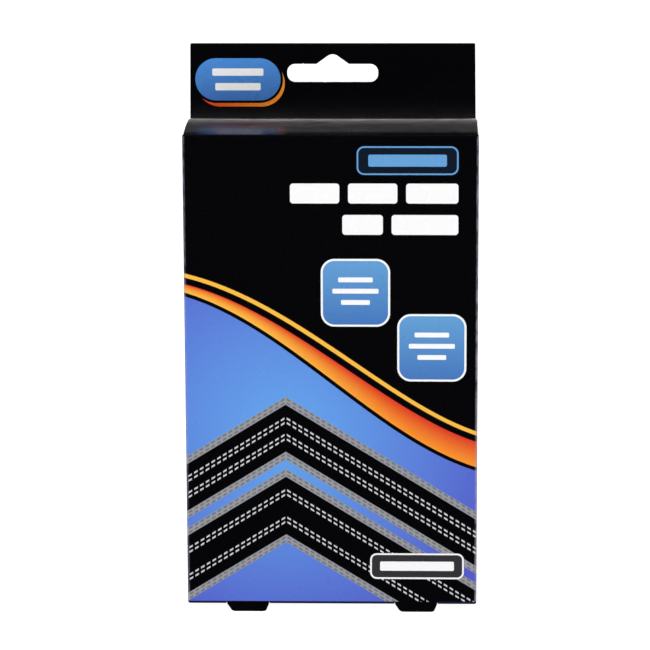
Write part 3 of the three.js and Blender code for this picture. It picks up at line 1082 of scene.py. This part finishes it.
# the share of painted sheen and dust: faint over the lid, brightest at the rear fold as a painted highlight
def lid_sheen_and_dust(f, blank, x, y):
    depth = y - LID_PLACE
    share = (depth / LID_DEPTH).clamped()
    streaks = f.noise(**STREAKS, vector=f.stretch(blank, STREAK_STRETCH))
    blotches = f.noise(**BLOTCHES, vector=blank)
    square = share * share
    sheen_and_dust = (LID_GREY_THIN + square * square * LID_GREY_THICK) * (STREAK_LEAST + streaks * STREAK_GAIN)
    sheen_and_dust = sheen_and_dust * (BLOTCH_MOST - blotches * BLOTCH_GAIN).most(BLOTCH_LEAST)
    for spot in BARE_SPOTS:
        aside = (x - spot["place"][0]) / spot["size"][0]
        behind = (depth - spot["place"][1]) / spot["size"][1]
        near = (SPOT_EDGE - (aside * aside + behind * behind).root() - streaks * SPOT_FRAY).clamped()
        sheen_and_dust = sheen_and_dust * (1 - near * SPOT_BARE)
    past_fold = ((depth - LID_DEPTH) / LID_GREY_END).clamped()
    return (sheen_and_dust * ((depth - LID_GREY_START) / LID_GREY_RAMP).clamped() * (1 - past_fold)).clamped()


print("haze over", round(LID_DEPTH, 1), "mm of the lid")

# %% [markdown]
# Ink cracks first where the board is bent, so each long fold is rubbed pale. The pale violet line is also a
# painted highlight that the folds catch, and the right-hand ones have most of it. The distance to the
# nearest fold line gives the place, and a noise drawn out along the fold decides how far it is worn and lit.

# %% Rub the long folds and paint their highlight
# painted highlight along the long folds, mixed with their wear
FOLD_WEAR_AND_HIGHLIGHT_TONE = colour(178, 174, 198)
FOLD_MARK_HALF = 0.75
FOLD_MARK_SHARE, FOLD_MARK_RIGHT_MORE = 0.5, 0.4
FOLD_LINE = (side_fold + corner_run / 2) / MM
FOLD_NOISE = dict(scale=1.0, detail=5.0, roughness=0.7)
FOLD_NOISE_STRETCH = (1.1, 0.22, 1)
FOLD_NOISE_START, FOLD_NOISE_GAIN = 0.35, 4


def fold_wear_and_highlight(f, blank, x, y):
    half_way = BACK_MIDDLE / 2
    away = abs(abs(abs(x) - half_way) - (half_way - FOLD_LINE))
    streaks = f.noise(**FOLD_NOISE, vector=f.stretch(blank, FOLD_NOISE_STRETCH))
    share = inside(-1 * x) * FOLD_MARK_RIGHT_MORE + FOLD_MARK_SHARE
    wear_and_highlight = ((streaks - FOLD_NOISE_START) * FOLD_NOISE_GAIN).clamped() * (1 - away / FOLD_MARK_HALF).clamped() * share
    return wear_and_highlight * inside(y - WALL_TOP) * inside(LINE_TOP - y)


print("folds at", round(FOLD_LINE, 2), "and", round(BACK_MIDDLE - FOLD_LINE, 2), "mm from the middle")

# %% [markdown]
# All the parts of the print are laid over each other in order. It stops at the base's fold, where a navy
# band is painted as the shade of the fold turning away from the light, and it leaves the foot tabs, the
# roots of the header and the tongues black. The varnish is satin, and not quite even: a slow noise changes
# its roughness, and a fine one is the board's own grain under it.

# %% Finish the printed face
HEADER_MIDDLE, HEADER_REACH = 182, 14.5
RIPPLE = dict(scale=260.0, detail=4.0, roughness=0.6)
FIBRE = dict(scale=2600.0, detail=2.0, roughness=0.6)
RIPPLE_SHARE = 0.6
GLOSS, GLOSS_WANDER = 0.2, 0.14

printed = Finish(PRINTED)
blank = printed.node("ShaderNodeUVMap", dict(uv_map="blank"))
across, rise, _ = printed.split(blank)
ink = draw_field(printed, across, rise)
ink = draw_bars(printed, ink, blank, FRONT_BARS)
ink = draw_back(printed, ink, blank)
ink = draw_sides(printed, ink, across, rise)
on_walls = inside(LINE_TOP - rise) * inside(rise - WALL_TOP)
on_header = inside(abs(rise - HEADER_MIDDLE) - HEADER_REACH)
beside_foot = inside(FOOT_RELEASE / MM - abs(abs(across) - FOOT_OFFSET / MM))
# painted shade: a navy band where the base's fold turns away from the light
painted_fold_shade = inside(abs(rise - LINE_TOP / 2) - LINE_TOP / 2) * beside_foot
ink = printed.mix(on_walls.most(on_header), printed.mix(painted_fold_shade, BLACK, FOLD_SHADE_NAVY), ink)
# painted highlight along the long folds, together with their wear
ink = printed.mix(fold_wear_and_highlight(printed, blank, across, rise), ink, FOLD_WEAR_AND_HIGHLIGHT_TONE)
# painted sheen and rear-fold highlight on the lid, mixed with dust
sheen_and_dust = lid_sheen_and_dust(printed, blank, across, rise)
ink = printed.mix(sheen_and_dust, ink, SHEEN_AND_DUST_TONE)
height = printed.noise(**RIPPLE) * RIPPLE_SHARE + printed.noise(**FIBRE) * (1 - RIPPLE_SHARE)
gloss = GLOSS + printed.noise(scale=60.0, detail=4.0) * GLOSS_WANDER + sheen_and_dust * LID_GREY_ROUGHNESS
grain = printed.bump(height, distance=0.05 * MM, strength=0.35)
printed.surface(Base_Color=ink, Roughness=gloss, IOR=1.5, Normal=grain)
print("print drawn with", len(printed.tree.nodes), "nodes")

# %% [markdown]
# The inside of the board is unprinted grey pulp, and its cut edge is paler and rougher. Both are mostly the
# same fine noise at different scales: long fibres, a few darker specks and a slight fluff on the edge.

# %% Plain board and its cut edge
PULP_DARK, PULP_PALE = colour(196, 193, 184), colour(222, 220, 213)
PULP_STRETCH = (1.0, 1.0, 0.3)
SPECK_TONE, SPECK_SHARE = colour(140, 134, 122), 0.5
SPECK_LEVEL, SPECK_SLOPE = 0.7, 40
EDGE_DARK, EDGE_PALE = colour(178, 176, 170), colour(226, 225, 220)

plain = Finish(PLAIN)
drawn_out = plain.stretch(plain.object_place(), PULP_STRETCH)
fibres = plain.noise(scale=1500.0, detail=5.0, roughness=0.65, vector=drawn_out)
specks = inside((SPECK_LEVEL - plain.noise(scale=900.0, detail=2.0)) * SPECK_SLOPE)
pulp = plain.mix(fibres, PULP_DARK, PULP_PALE)
pulp = plain.mix(specks * SPECK_SHARE, pulp, SPECK_TONE)
rough = plain.bump(fibres, distance=0.1 * MM, strength=0.5)
plain.surface(Base_Color=pulp, Roughness=0.85, IOR=1.45, Normal=rough)

cut = Finish(CUT)
fluff = cut.noise(scale=3000.0, detail=4.0, roughness=0.7)
torn = cut.bump(fluff, distance=0.1 * MM, strength=0.6)
cut.surface(Base_Color=cut.mix(fluff, EDGE_DARK, EDGE_PALE), Roughness=0.95, IOR=1.45, Normal=torn)

print("board finished")

# %% [markdown]
# The light is that of a white studio: a pale floor that is lit from below, as a light table is, and three
# large soft lamps, in front, overhead and behind. The sky is nearly dark and the lamps are hidden from
# reflections, because glossy black board shows whatever it faces, and in a studio that is a dark room.

# %% Stand it on a pale floor under soft light
FLOOR_SIZE = 12
FLOOR_GLOW = 1.0
FLOOR_GREY = (0.22, 0.22, 0.22, 1)
SKY = 0.06
SKY_START, SKY_FULL = 0.18, 0.5
FRONT_LAMP = dict(place=(-0.5, -1.6, 1.5), size=1.4, power=19)
OVERHEAD_LAMP = dict(place=(0.1, -0.2, 1.7), size=1.2, power=26)
BACK_LAMP = dict(place=(0.7, 1.7, 1.3), size=1.4, power=14)


def finish_floor(material):
    f = Finish(material)
    diffuse = f.node("ShaderNodeBsdfDiffuse", inputs={"Color": FLOOR_GREY})
    glow = f.node("ShaderNodeEmission", inputs={"Color": (1, 1, 1, 1), "Strength": FLOOR_GLOW})
    lit = f.node("ShaderNodeAddShader", inputs={0: diffuse, 1: glow})
    clear = f.node("ShaderNodeBsdfTransparent")
    below = f.node("ShaderNodeNewGeometry", output="Backfacing")
    f.node("ShaderNodeOutputMaterial", inputs={
        "Surface": f.node("ShaderNodeMixShader", inputs={0: below, 1: lit, 2: clear})})


floor_shape = bmesh.new()
bmesh.ops.create_grid(floor_shape, x_segments=1, y_segments=1, size=FLOOR_SIZE)
floor = put_mesh("floor", floor_shape)
floor.data.materials.append(bpy.data.materials.new("pale_floor"))
finish_floor(floor.data.materials[0])
floor.visible_glossy = False


def soft_lamp(name, place, size, power, target=(0, 0, 0.09)):
    data = bpy.data.lights.new(name, "AREA")
    data.shape = "DISK"
    data.size = size
    data.energy = power
    lamp = put(name, data)
    lamp.location = place
    lamp.rotation_mode = "QUATERNION"
    lamp.rotation_quaternion = (Vector(target) - Vector(place)).to_track_quat("-Z", "Y")
    lamp.visible_glossy = False


soft_lamp("front_lamp", **FRONT_LAMP)
soft_lamp("overhead_lamp", **OVERHEAD_LAMP)
soft_lamp("back_lamp", **BACK_LAMP)

world = bpy.data.worlds.new("studio")
bpy.context.scene.world = world
sky = Finish(world)
_, _, upward = sky.split(sky.node("ShaderNodeTexCoord", output="Generated"))
strength = ((upward - SKY_START) / (SKY_FULL - SKY_START)).clamped() * SKY
background = sky.node("ShaderNodeBackground", inputs={"Color": (1, 1, 1, 1), "Strength": strength})
sky.node("ShaderNodeOutputWorld", inputs={"Surface": background})
bpy.context.scene.view_settings.view_transform = "Standard"
print("stage set")
